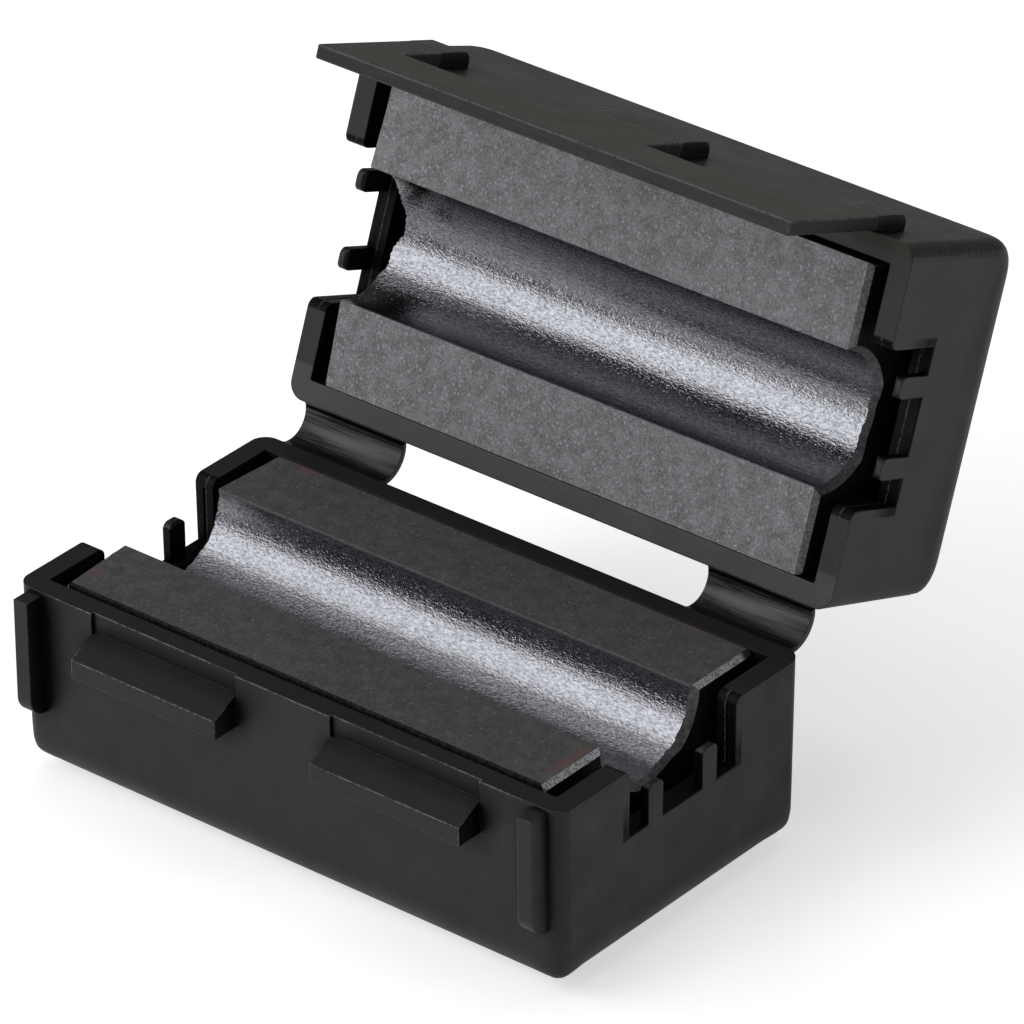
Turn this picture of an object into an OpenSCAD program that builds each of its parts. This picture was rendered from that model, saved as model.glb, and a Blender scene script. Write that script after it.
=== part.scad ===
// Clip-on ferrite bead: a hinged plastic case holding two ferrite half cores,
// shown with its lid swung open. X runs along the cable, -Y is the latch side,
// +Y the hinge side, and the origin is the centre of the underside.

/* [Case] */
// Length of the case along the cable
case_length = 32; // [28:0.5:42]
// Width of the case, latch wall to hinge wall
case_width = 17.3; // [16:0.1:24]
// Height of the lower half, underside to rim
base_height = 9.9; // [9:0.1:14]
// Depth of the lid, rim to closed side
lid_depth = 9.8; // [9:0.1:14]
// Thickness of the walls and floors
wall = 1.1; // [0.9:0.05:1.4]
// Radius of the upright corners
corner_radius = 0.85; // [0.4:0.05:1.2]
// Radius of the edges around each closed side
edge_radius = 2.2; // [1.2:0.1:3]
// Radius of the rounding at each corner of the closed sides
corner_blend = 2.75; // [1.6:0.05:3.5]
// Draft of the outer walls in degrees
draft_angle = 0.78; // [0.3:0.02:1]
// Gap between the two rims when the lid is shut
rim_gap = 0.1; // [0.06:0.02:0.3]

/* [Ferrite core] */
// Diameter of the cable channel through the two half cores
bore_diameter = 6.5; // [5:0.1:8]
// Widening of the channel at each mouth
mouth_flare = 0.3; // [0.1:0.05:0.8]
// Gap between a half core and the latch wall
core_gap_front = 0.31; // [0.1:0.01:0.5]
// Gap between a half core and the hinge wall, which it leans on
core_gap_rear = 0.03; // [0.02:0.01:0.3]
// Gap at the left end of a half core
core_gap_left = 0.7; // [0.5:0.05:1.6]
// Gap at the right end of a half core
core_gap_right = 0.9; // [0.5:0.05:1.4]
// Radius of the upright edges of a half core
core_edge = 0.25; // [0.2:0.05:0.8]
// Bevel along both ends of the ground face of a half core
core_bevel = 0.25; // [0.1:0.05:0.4]
// Height of the lower half core above its rim
core_proud = 0.03; // [0:0.01:0.04]

/* [Cable gates] */
// Width of the gate in each end wall
gate_width = 7.6; // [6.8:0.1:9]
// Depth of the gate below the rim
gate_depth = 3.5; // [3:0.1:4.5]
// Rounding of the rim beside a gate
gate_round = 0.45; // [0.2:0.05:0.8]
// Width of one cable finger
finger_width = 1.05; // [0.8:0.05:1.2]
// Clear space between the two fingers of a gate
finger_space = 2.8; // [2:0.1:3]
// Drop of the finger tips below the rim
finger_drop = 1.55; // [1.2:0.05:2.2]
// Thickness of a finger
finger_thickness = 0.52; // [0.4:0.02:0.7]
// Bevel inside each finger tip
tip_bevel = 0.2; // [0.1:0.05:0.4]
// Width of the groove in the cheeks of a gate
groove_width = 0.12; // [0.08:0.01:0.25]
// Thickness of the skin outside that groove
groove_skin = 0.48; // [0.35:0.01:0.55]
// Depth of that groove
groove_depth = 0.16; // [0.08:0.02:0.4]

/* [Latch] */
// Length of the latch plate along the case
plate_length = 27.4; // [22:0.1:27.6]
// Thickness of the latch plate
plate_thickness = 0.7; // [0.5:0.05:0.9]
// Reach of the latch plate past the rim of the lid
plate_reach = 6.8; // [6:0.1:7.5]
// Gap between the latch plate and the wall behind it
plate_gap = 0.06; // [0.04:0.01:0.12]
// Height of each window above the bar
window_height = 2.9; // [2.7:0.1:3.2]
// Width of the arm in the middle of the plate
middle_arm = 5; // [3:0.1:7]
// Width of the arm at each end of the plate
end_arm = 2; // [1.4:0.1:2.6]
// Height of the root blocks that carry the plate
root_height = 2.2; // [1.6:0.1:3]
// Gap between the end of a wedge catch and the end of its window
catch_end_gap = 0.3; // [0.2:0.05:0.5]
// Gap between the underside of a wedge catch and the bar
catch_gap = 0.1; // [0.05:0.01:0.2]
// Reach of the wedge catches from the latch wall
catch_reach = 1.45; // [1.1:0.05:1.7]
// Height of the flat front of a wedge catch
catch_face = 0.95; // [0.6:0.05:1.2]
// Height of the slope of a wedge catch
catch_slope = 0.75; // [0.5:0.05:0.9]
// Depth of the recess above each wedge catch
recess_depth = 0.16; // [0.08:0.02:0.3]

/* [Guard ears] */
// Width of a guard ear along the case
ear_width = 0.8; // [0.6:0.05:1]
// Reach of a guard ear from the latch wall
ear_reach = 1.05; // [0.8:0.05:1.4]
// Length of a guard ear down the wall
ear_length = 6.2; // [4:0.05:6.5]
// Distance from the end of the case to a guard ear
ear_inset = 0.8; // [0.4:0.05:0.8]
// Drop of the top of a guard ear below the rim
ear_drop = 0.15; // [0.05:0.05:0.5]

/* [Hinge] */
// Angle of the lid from shut
open_angle = 110.9; // [80:0.1:150]
// Distance of the hinge axis behind the hinge wall
hinge_offset = 1.3; // [1.1:0.05:1.8]
// Thickness of the hinge straps
strap_thickness = 0.34; // [0.25:0.01:0.45]
// Drop of each strap end below its rim
strap_drop = 0.24; // [0.2:0.02:0.5]
// Distance from the end of the case to the outer edge of a strap
strap_inset = 1; // [0.4:0.05:1.5]
// Length of each strap along the case
strap_length = 5.95; // [4:0.05:9]
// Bulge of each strap past the straight line between its ends
strap_bulge = 0.8; // [0.5:0.05:1]

/* [Hidden] */
$fn = 64;
eps = 0.5;                       // overshoot of cuts past the face they open

// Places that several sub-parts share
front = -case_width / 2;
rear = case_width / 2;
parting_z = base_height + rim_gap / 2;
hinge_y = rear + hinge_offset;
lid_rim_z = parting_z + rim_gap / 2;
core_length = case_length - 2 * wall - core_gap_left - core_gap_right;
core_width = case_width - 2 * wall - core_gap_front - core_gap_rear;
core_slide = [(core_gap_left - core_gap_right) / 2, (core_gap_front - core_gap_rear) / 2, 0];
bore_radius = bore_diameter / 2;
corner_lean = atan(tan(draft_angle) / cos(45));
corner_reach = corner_radius
               + ((case_length + case_width) / 2 - 2 * corner_radius) * cos(45);
corner_overlap = 0.003;          // of an upright corner's rounding past its two walls
corner_clear = 0.05;             // from an upright corner to the slanting bars
groove_stop = 0.1;               // from the groove in a gate cheek to the rounding above it
strap_overrun = 20;              // degrees a strap is drawn past each end, then trimmed

// Latch: the windows follow the arms, and the catches follow the windows
window_in = middle_arm / 2;
window_out = plate_length / 2 - end_arm;
catch_in = window_in + catch_end_gap;
catch_out = window_out - catch_end_gap;
catch_bottom = lid_rim_z - window_height + catch_gap;
catch_top = catch_bottom + catch_face + catch_slope;
root_gap = 0.15;                 // from the rim of the lid to the root blocks
root_lip = 0.75;                 // reach of the root blocks from the wall
root_round = 0.5;                // rounding of the far edge of a root block

case_black = [0.16, 0.16, 0.17];
ferrite_grey = [0.33, 0.33, 0.35];

// Section of a half: width at the rim, sides leaning in by the draft, lower corners rounded
module tub_profile(width, height, radius, draft) {
    centre_x = width / 2 - (height - radius) * tan(draft) - radius / cos(draft);
    touch = [centre_x + radius * cos(draft), radius - radius * sin(draft)];
    polygon([
        [-centre_x, 0],
        [centre_x, 0],
        touch,
        [width / 2, height],
        [width / 2, height + eps],
        [-width / 2, height + eps],
        [-width / 2, height],
        [-touch.x, touch.y]
    ]);
    for (side = [-1, 1]) translate([side * centre_x, radius]) circle(radius);
}

// Rectangle with four rounded corners, centred
module rounded_rect(width, depth, radius) {
    square([width - 2 * radius, depth], center = true);
    square([width, depth - 2 * radius], center = true);
    for (sx = [-1, 1], sy = [-1, 1])
        translate([sx * (width / 2 - radius), sy * (depth / 2 - radius)]) circle(radius);
}

// Bar with that section, lying along the direction that is turned from Y
module tub_bar(width, height, radius, draft, turn) {
    rotate([90, 0, turn])
        translate([0, 0, -case_length])
            linear_extrude(2 * case_length) tub_profile(width, height, radius, draft);
}

// Cut that rounds one upright corner, leaning in with the draft of its two walls
module corner_cut(height) {
    translate([case_length / 2, case_width / 2, height])
        rotate([0, 0, 45])
            rotate([0, corner_lean, 0])
                rotate([0, 0, -45])
                    translate([-corner_radius, -corner_radius, -2 * height])
                        linear_extrude(4 * height)
                            difference() {
                                square(2 * corner_radius);
                                circle(corner_radius + corner_overlap);
                            }
}

// Solid block of one case half, standing on z = 0 with its rim at the top
module half_block(height) {
    diagonal = 2 * (corner_reach + corner_clear);
    difference() {
        intersection() {
            translate([-case_length, -case_width, 0])
                cube([2 * case_length, 2 * case_width, height]);
            tub_bar(case_length, height, edge_radius, draft_angle, 0);
            tub_bar(case_width, height, edge_radius, draft_angle, 90);
            tub_bar(diagonal, height, corner_blend, corner_lean, 45);
            tub_bar(diagonal, height, corner_blend, corner_lean, -45);
        }
        for (end = [0, 1], side = [0, 1])
            mirror([end, 0, 0]) mirror([0, side, 0]) corner_cut(height);
    }
}

// Pocket that holds the half core
module core_pocket(height) {
    translate([0, 0, wall])
        linear_extrude(height)
            rounded_rect(case_length - 2 * wall, case_width - 2 * wall, core_edge / 2);
}

// Outline of a gate, with y up from the underside, flared where it meets the rim
module gate_outline(height) {
    translate([-gate_width / 2, height - gate_depth]) square([gate_width, gate_depth + eps]);
    for (side = [-1, 1])
        difference() {
            translate([side * (gate_width + gate_round) / 2, height - gate_round / 2 + eps / 2])
                square([gate_round, gate_round + eps], center = true);
            translate([side * (gate_width / 2 + gate_round), height - gate_round])
                circle(gate_round);
        }
}

// Front view of the two cable fingers, their tip corners rounded
module finger_fronts(height) {
    tip = height - finger_drop;
    foot = height - gate_depth - eps;
    radius = finger_width / 3;
    for (side = [-1, 1])
        translate([side * (finger_space + finger_width) / 2, 0]) {
            translate([-finger_width / 2, foot]) square([finger_width, tip - foot - radius]);
            translate([radius - finger_width / 2, foot])
                square([finger_width - 2 * radius, tip - foot]);
            for (corner = [-1, 1])
                translate([corner * (finger_width / 2 - radius), tip - radius]) circle(radius);
        }
}

// Everything cut from the right-hand end wall of a half, which leaves the thin fingers
module gate_cut(height) {
    outer = case_length / 2;
    finger_back = outer - finger_thickness;
    finger_reach = finger_space / 2 + finger_width;
    translate([outer - wall - eps, 0, 0])
        rotate([90, 0, 90]) linear_extrude(wall + eps - finger_thickness) gate_outline(height);
    translate([finger_back - eps, 0, 0])
        rotate([90, 0, 90])
            linear_extrude(finger_thickness + 2 * eps)
                difference() {
                    gate_outline(height);
                    finger_fronts(height);
                }
    translate([0, finger_reach, height - finger_drop])
        rotate([90, 0, 0])
            linear_extrude(2 * finger_reach)
                polygon([
                    [finger_back - eps, eps],
                    [finger_back + tip_bevel + eps, eps],
                    [finger_back - eps, -tip_bevel - eps]
                ]);
    translate([outer - groove_skin - groove_width, -gate_width / 2 - groove_depth,
               height - gate_depth])
        cube([groove_width, gate_width + 2 * groove_depth,
              gate_depth - gate_round - groove_stop]);
}

// One shell with its pocket, gates and fingers, the same for both halves
module half_shell(height) {
    difference() {
        half_block(height);
        core_pocket(height);
        for (end = [0, 1]) mirror([end, 0, 0]) gate_cut(height);
    }
}

// Puts a lid part, modelled like a base half standing on z = 0, into the open lid
module in_lid() {
    translate([0, hinge_y, parting_z])
        rotate([-open_angle, 0, 0])
            translate([0, -hinge_y, rim_gap / 2 + lid_depth])
                mirror([0, 0, 1])
                    children();
}

// Wedge catch of the base, seen from the end and drawn out along the case
module catch() {
    translate([catch_in, 0, 0])
        rotate([90, 0, 90])
            linear_extrude(catch_out - catch_in)
                polygon([
                    [front + wall / 2, catch_bottom],
                    [front - catch_reach, catch_bottom],
                    [front - catch_reach, catch_bottom + catch_face],
                    [front + recess_depth, catch_top],
                    [front + wall / 2, catch_top]
                ]);
}

// Shallow recess from a catch up to the rim
module catch_recess() {
    translate([catch_in, front - eps, catch_top - recess_depth])
        cube([catch_out - catch_in, recess_depth + eps, base_height]);
}

// Guard ear beside the latch plate, its lower end rounded
module ear() {
    top = base_height - ear_drop;
    bottom = top - ear_length;
    translate([case_length / 2 - ear_inset - ear_width, 0, 0])
        rotate([90, 0, 90])
            linear_extrude(ear_width) {
                translate([front - ear_reach, bottom + ear_reach])
                    square([ear_reach + wall / 2, ear_length - ear_reach]);
                translate([front, bottom]) square([wall / 2, ear_length]);
                intersection() {
                    translate([front, bottom + ear_reach]) circle(ear_reach);
                    translate([front - ear_reach, bottom]) square([ear_reach, ear_reach]);
                }
            }
}

// Lower half of the case with its catches and ears
module case_base() {
    color(case_black) {
        difference() {
            half_shell(base_height);
            for (side = [0, 1]) mirror([side, 0, 0]) catch_recess();
        }
        for (side = [0, 1]) mirror([side, 0, 0]) {
            catch();
            ear();
        }
    }
}

// Root block on the latch wall of the lid, carrying one arm of the plate
module root_block(x_start, x_end) {
    low = lid_depth - root_gap - root_height;
    translate([x_start, 0, 0])
        rotate([90, 0, 90])
            linear_extrude(x_end - x_start) {
                translate([front - root_lip, low + root_round])
                    square([root_lip + wall / 2, root_height - root_round]);
                translate([front - root_lip + root_round, low])
                    square([root_lip - root_round + wall / 2, root_height]);
                translate([front - root_lip + root_round, low + root_round]) circle(root_round);
            }
}

// Lid shell with its root blocks
module case_lid() {
    color(case_black)
        in_lid() {
            half_shell(lid_depth);
            root_block(-window_in, window_in);
            for (side = [0, 1]) mirror([side, 0, 0]) root_block(window_out, plate_length / 2);
        }
}

// Latch plate: three arms from the root blocks and the bar across their ends
module latch_plate() {
    top = lid_depth - root_gap;
    bar_height = plate_reach - window_height;
    color(case_black)
        in_lid()
            difference() {
                translate([-plate_length / 2, front - plate_gap - plate_thickness, top])
                    cube([plate_length, plate_thickness, plate_reach + root_gap]);
                for (side = [0, 1]) mirror([side, 0, 0])
                    translate([window_in, front - plate_gap - plate_thickness - eps, top - eps])
                        cube([window_out - window_in, plate_thickness + 2 * eps,
                              window_height + root_gap + eps]);
            }
}

// Strap from the base to the lid below their rims, bulging away from the gap
module strap() {
    rim_drop = strap_drop + rim_gap / 2;
    base_end = [rear, base_height - strap_drop];
    lid_end = [hinge_y - hinge_offset * cos(open_angle) + rim_drop * sin(open_angle),
               parting_z + hinge_offset * sin(open_angle) + rim_drop * cos(open_angle)];
    chord = lid_end - base_end;
    half_chord = norm(chord) / 2;
    radius = (half_chord * half_chord + strap_bulge * strap_bulge) / (2 * strap_bulge);
    chord_angle = atan2(chord.y, chord.x);
    inward = [-sin(chord_angle), cos(chord_angle)];
    centre = (base_end + lid_end) / 2 + (radius - strap_bulge) * inward;
    half_turn = atan2(half_chord, radius - strap_bulge) + strap_overrun;
    color(case_black)
        difference() {
            translate([case_length / 2 - strap_inset - strap_length, centre.x, centre.y])
                rotate([90, 0, 90])
                    rotate(chord_angle - 90 - half_turn)
                        rotate_extrude(angle = 2 * half_turn)
                            translate([radius - strap_thickness / 2, 0])
                                square([strap_thickness, strap_length]);
            tub_bar(case_width, base_height, edge_radius, draft_angle, 90);
            in_lid() tub_bar(case_width, lid_depth, edge_radius, draft_angle, 90);
        }
}

module hinge_strap_left() {
    mirror([1, 0, 0]) strap();
}

module hinge_strap_right() {
    strap();
}

// Cut that bevels the right-hand end of the ground face
module end_bevel(height) {
    translate([core_length / 2, core_width / 2 + eps, height])
        rotate([90, 0, 0])
            linear_extrude(core_width + 2 * eps)
                polygon([
                    [-core_bevel - eps, eps],
                    [eps, -core_bevel - eps],
                    [eps, eps]
                ]);
}

// Half core standing on z = 0, its channel open at the top
module half_core(height) {
    color(ferrite_grey)
        difference() {
            linear_extrude(height) rounded_rect(core_length, core_width, core_edge);
            translate([-core_length / 2 - eps, 0, height])
                rotate([0, 90, 0]) cylinder(r = bore_radius, h = core_length + 2 * eps);
            for (end = [0, 1]) mirror([end, 0, 0]) {
                translate([core_length / 2 - mouth_flare, 0, height])
                    rotate([0, 90, 0])
                        cylinder(r1 = bore_radius, r2 = bore_radius + 2 * mouth_flare,
                                 h = 2 * mouth_flare);
                end_bevel(height);
            }
        }
}

module core_lower() {
    translate(core_slide + [0, 0, wall]) half_core(base_height - wall + core_proud);
}

module core_upper() {
    in_lid() translate(core_slide + [0, 0, wall]) half_core(lid_depth - wall);
}

case_base();
case_lid();
latch_plate();
hinge_strap_left();
hinge_strap_right();
core_lower();
core_upper();
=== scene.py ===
import bpy
import bmesh
import math
import random
from mathutils import Matrix, Vector


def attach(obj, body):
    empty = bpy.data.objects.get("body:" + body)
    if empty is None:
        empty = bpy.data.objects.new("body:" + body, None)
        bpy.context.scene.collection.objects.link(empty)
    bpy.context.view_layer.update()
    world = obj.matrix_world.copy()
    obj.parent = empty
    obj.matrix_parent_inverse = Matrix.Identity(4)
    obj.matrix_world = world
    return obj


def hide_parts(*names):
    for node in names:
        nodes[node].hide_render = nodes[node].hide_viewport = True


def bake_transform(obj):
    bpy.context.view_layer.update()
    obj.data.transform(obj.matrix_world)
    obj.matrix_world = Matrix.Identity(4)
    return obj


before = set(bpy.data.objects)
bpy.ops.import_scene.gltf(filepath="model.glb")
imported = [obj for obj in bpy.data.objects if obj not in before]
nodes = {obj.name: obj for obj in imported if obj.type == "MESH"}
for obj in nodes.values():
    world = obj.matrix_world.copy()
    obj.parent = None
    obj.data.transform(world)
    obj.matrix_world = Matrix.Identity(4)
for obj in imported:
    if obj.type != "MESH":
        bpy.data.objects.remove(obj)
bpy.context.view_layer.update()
print("frame loaded:", ", ".join(sorted(nodes)))

# the camera stands well back, behind a long lens
viewSettings = {
    "place": (0.22192, -0.26024, 0.21662),
    "turn": (59.5258, 0.5148, 39.3435),  # degrees
    "lens": 310.4,
    "sensor": 36,
    "clip": (0.02, 20),
}


def addCamera(settings):
    camera = bpy.data.cameras.new("viewCamera")
    camera.lens = settings["lens"]
    camera.sensor_width = settings["sensor"]
    camera.clip_start, camera.clip_end = settings["clip"]
    camera.dof.use_dof = False
    holder = bpy.data.objects.new("viewCamera", camera)
    holder.location = settings["place"]
    holder.rotation_euler = [math.radians(angle) for angle in settings["turn"]]
    bpy.context.scene.collection.objects.link(holder)
    bpy.context.scene.camera = holder


addCamera(viewSettings)

# four softboxes in a dim room, over a pale floor
studioSettings = {
    "aim": (0.0, 0.008, 0.014),
    "roomGrey": 0.08,  # what the room sends from every side
    "floorReach": 1.5,
    "floorGrey": 0.86,
    "floorRoughness": 0.9,
    "floorShine": 0.1,
    "floorLift": 0.60,  # brings the lit floor up to white for the camera
    "floorGloss": 0.34,  # the same lift as glossy pieces see it
    "boxes": {  # name: direction, distance, width, height, brightness
        "keyBox": ((-0.575, -0.580, 0.577), 0.50, 0.36, 0.34, 2.80),
        "frontBox": ((-0.262, -0.945, 0.190), 0.55, 0.28, 0.20, 3.25),
        "topBox": ((-0.14, 0.12, 0.98), 0.70, 0.66, 0.45, 1.45),
        "rearBox": ((-0.10, 0.82, 0.56), 0.70, 0.70, 0.40, 0.35),
    },
}


def addSoftbox(name, aim, direction, distance, width, height, brightness):
    lamp = bpy.data.lights.new(name, "AREA")
    lamp.shape = "RECTANGLE"
    lamp.size = width
    lamp.size_y = height
    lamp.energy = brightness * math.pi * width * height
    holder = bpy.data.objects.new(name, lamp)
    toLamp = Vector(direction).normalized()
    holder.location = Vector(aim) + toLamp * distance
    holder.rotation_euler = toLamp.to_track_quat("Z", "Y").to_euler()
    holder.visible_camera = False
    bpy.context.scene.collection.objects.link(holder)


nodeGrid = {"columns": 8, "across": 220, "down": 340}  # how the nodes of a material are laid out


def addNode(tree, kind, **inputs):
    row, column = divmod(len(tree.nodes), nodeGrid["columns"])
    node = tree.nodes.new(kind)
    node.location = (-nodeGrid["across"] * (column + 1), -nodeGrid["down"] * row)
    for key, value in inputs.items():
        node.inputs[key].default_value = value
    return node


def feed(tree, socket, value):
    if isinstance(value, bpy.types.NodeSocket):
        tree.links.new(value, socket)
    else:
        socket.default_value = value


def mixValue(tree, factor, first, second):
    mix = addNode(tree, "ShaderNodeMix")
    for socket, value in zip(mix.inputs[2:4], (first, second)):
        feed(tree, socket, value)
    tree.links.new(factor, mix.inputs[0])
    return mix.outputs[0]


def addRoom(settings):
    world = bpy.data.worlds.new("studioRoom")
    bpy.context.scene.world = world
    world.use_nodes = True
    tree = world.node_tree
    room = tree.nodes["Background"]
    grey = settings["roomGrey"]
    room.inputs["Color"].default_value = (grey, grey, grey, 1)
    seen = addNode(tree, "ShaderNodeBackground", Color=(1, 1, 1, 1))
    rays = addNode(tree, "ShaderNodeLightPath")
    mix = addNode(tree, "ShaderNodeMixShader")
    tree.links.new(rays.outputs["Is Camera Ray"], mix.inputs[0])
    tree.links.new(room.outputs[0], mix.inputs[1])
    tree.links.new(seen.outputs[0], mix.inputs[2])
    tree.links.new(mix.outputs[0], tree.nodes["World Output"].inputs["Surface"])


def makePaper(settings):
    paper = bpy.data.materials.new("paleFloor")
    paper.use_nodes = True
    tree = paper.node_tree
    shader = tree.nodes["Principled BSDF"]
    pale = settings["floorGrey"]
    shader.inputs["Base Color"].default_value = (pale, pale, pale, 1)
    shader.inputs["Roughness"].default_value = settings["floorRoughness"]
    shader.inputs["Specular IOR Level"].default_value = settings["floorShine"]
    lift = addNode(tree, "ShaderNodeEmission", Color=(1, 1, 1, 1))
    rays = addNode(tree, "ShaderNodeLightPath")
    glossy = addNode(tree, "ShaderNodeMath")
    glossy.operation = "MAXIMUM"
    tree.links.new(rays.outputs["Is Glossy Ray"], glossy.inputs[0])
    tree.links.new(rays.outputs["Is Transmission Ray"], glossy.inputs[1])
    amount = mixValue(tree, glossy.outputs[0], 0, settings["floorGloss"])
    amount = mixValue(tree, rays.outputs["Is Camera Ray"], amount, settings["floorLift"])
    both = addNode(tree, "ShaderNodeAddShader")
    tree.links.new(amount, lift.inputs["Strength"])
    tree.links.new(shader.outputs[0], both.inputs[0])
    tree.links.new(lift.outputs[0], both.inputs[1])
    tree.links.new(both.outputs[0], tree.nodes["Material Output"].inputs["Surface"])
    return paper


def addFloor(settings):
    bm = bmesh.new()
    bmesh.ops.create_grid(bm, x_segments=1, y_segments=1, size=settings["floorReach"])
    mesh = bpy.data.meshes.new("studioFloor")
    bm.to_mesh(mesh)
    bm.free()
    mesh.materials.append(makePaper(settings))
    floor = bpy.data.objects.new("studioFloor", mesh)
    bpy.context.scene.collection.objects.link(floor)


for boxName, box in studioSettings["boxes"].items():
    addSoftbox(boxName, studioSettings["aim"], *box)
addRoom(studioSettings)
addFloor(studioSettings)
bpy.context.scene.view_settings.view_transform = "Standard"
print("camera, softboxes and floor placed")

# the lid's turn about the hinge line, from shut to open, and back
lidSettings = {"angle": -110.9, "hinge": (0, 0.00995, 0.00995)}
hinge = Vector(lidSettings["hinge"])
lidTurn = Matrix.Rotation(math.radians(lidSettings["angle"]), 4, "X")
openLid = Matrix.Translation(hinge) @ lidTurn @ Matrix.Translation(-hinge)
shutLid = openLid.inverted()

# steps that the materials share
rayCount = 6  # rays of each bevel and nook node


def startMaterial(name):
    material = bpy.data.materials.new(name)
    material.use_nodes = True
    tree = material.node_tree
    shader = tree.nodes["Principled BSDF"]
    place = addNode(tree, "ShaderNodeTexCoord")
    return material, tree, shader, place.outputs["Object"]


def addMath(tree, operation, first, second):
    step = addNode(tree, "ShaderNodeMath")
    step.operation = operation
    for socket, value in zip(step.inputs, (first, second)):
        feed(tree, socket, value)
    return step.outputs[0]


def mapRange(tree, value, low, high, start=0, end=1):
    step = addNode(tree, "ShaderNodeMapRange")
    for key, number in zip(("From Min", "From Max", "To Min", "To Max"), (low, high, start, end)):
        step.inputs[key].default_value = number
    tree.links.new(value, step.inputs["Value"])
    return step.outputs["Result"]


def multiply(tree, *values):
    result = values[0]
    for value in values[1:]:
        result = addMath(tree, "MULTIPLY", result, value)
    return result


def add(tree, first, second):
    return addMath(tree, "ADD", first, second)


def larger(tree, first, second):
    return addMath(tree, "MAXIMUM", first, second)


def insideBand(tree, value, low, high, soft):
    rise = mapRange(tree, value, low - soft, low)
    fall = mapRange(tree, value, high, high + soft, 1, 0)
    return multiply(tree, rise, fall)


def mixColor(tree, factor, first, second):
    mix = addNode(tree, "ShaderNodeMix")
    mix.data_type = "RGBA"
    colorIn = [s for s in mix.inputs if s.type == "RGBA"]
    for socket, value in zip(colorIn, (first, second)):
        feed(tree, socket, (*value, 1) if isinstance(value, tuple) else value)
    tree.links.new(factor, mix.inputs["Factor"])
    return [s for s in mix.outputs if s.type == "RGBA"][0]


def fromDark(tree, value, span, look):
    return mixColor(tree, mapRange(tree, value, *span), look["dark"], look["light"])


def splitPlace(tree, vector):
    parts = addNode(tree, "ShaderNodeSeparateXYZ")
    tree.links.new(vector, parts.inputs[0])
    return parts.outputs


def stretch(tree, vector, scale):
    mapping = addNode(tree, "ShaderNodeMapping", Scale=scale)
    tree.links.new(vector, mapping.inputs["Vector"])
    return mapping.outputs["Vector"]


def toShut(tree, vector, turn):
    if not turn:
        return vector
    mapping = addNode(tree, "ShaderNodeMapping")
    mapping.inputs["Rotation"].default_value = turn.to_euler()
    mapping.inputs["Location"].default_value = turn.translation
    tree.links.new(vector, mapping.inputs["Vector"])
    return mapping.outputs["Vector"]


def addNoise(tree, vector, size, detail, roughness=0.55):
    noise = addNode(tree, "ShaderNodeTexNoise", Scale=1 / size, Detail=detail, Roughness=roughness)
    tree.links.new(vector, noise.inputs["Vector"])
    return noise.outputs["Fac"]


def addWaver(tree, vector, size):
    noise = addNode(tree, "ShaderNodeTexNoise", Scale=1 / size, Detail=2)
    tree.links.new(vector, noise.inputs["Vector"])
    shift = addNode(tree, "ShaderNodeVectorMath")
    shift.operation = "MULTIPLY_ADD"
    shift.inputs[1].default_value = (size, size, size)
    tree.links.new(noise.outputs["Color"], shift.inputs[0])
    tree.links.new(vector, shift.inputs[2])
    return shift.outputs[0]


def addBump(tree, height, distance, normal=None):
    bump = addNode(tree, "ShaderNodeBump", Distance=distance)
    tree.links.new(height, bump.inputs["Height"])
    if normal is not None:
        tree.links.new(normal, bump.inputs["Normal"])
    return bump.outputs["Normal"]


def softEdge(tree, radius):
    bevel = addNode(tree, "ShaderNodeBevel", Radius=radius)
    bevel.samples = rayCount
    return bevel.outputs["Normal"]


def findNook(tree, reach):
    nook = addNode(tree, "ShaderNodeAmbientOcclusion", Distance=reach)
    nook.samples = rayCount
    nook.only_local = True
    return nook.outputs["AO"]


def readAttribute(tree, name):
    attribute = addNode(tree, "ShaderNodeAttribute")
    attribute.attribute_name = name
    return attribute.outputs["Fac"]


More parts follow.
